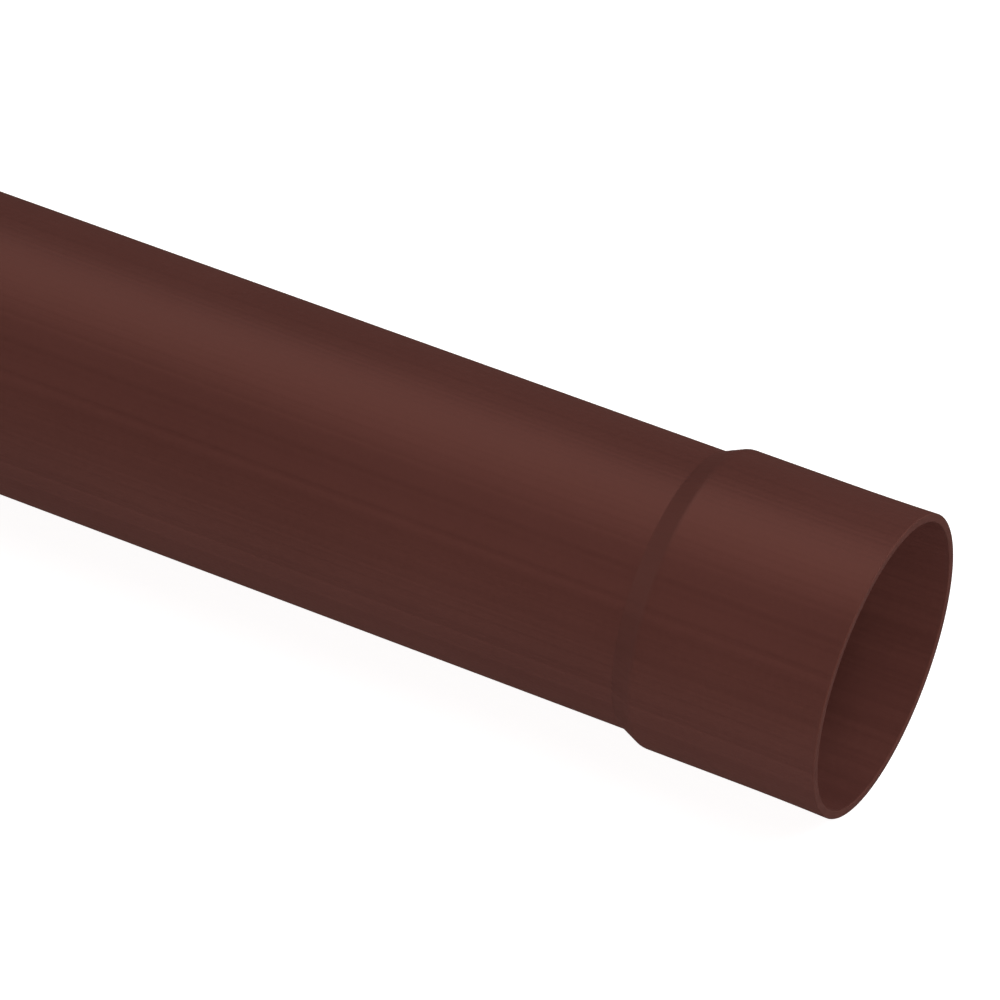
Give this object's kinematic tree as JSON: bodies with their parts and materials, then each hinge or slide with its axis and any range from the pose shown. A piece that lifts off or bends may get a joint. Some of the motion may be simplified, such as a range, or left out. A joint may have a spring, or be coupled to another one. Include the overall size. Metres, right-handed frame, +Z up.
{
  "type": "downpipe",
  "caption": "Round plastic rainwater downpipe: a thin-walled brown pipe whose formed socket end takes the plain end of the next length.",
  "frame": {"origin": "on the floor, under the middle of the pipe's length", "axes": "+X along the pipe's centre line, out of the socket's mouth; +Z up; the pipe lies on the floor"},
  "size_m": [1.055, 0.0866, 0.0865],
  "materials": {
    "pipe_plastic": "satin, extruded and coloured through, reddish brown"
  },
  "bodies": {
    "root": {"downpipe": "pipe_plastic"}
  },
  "joints": []
}
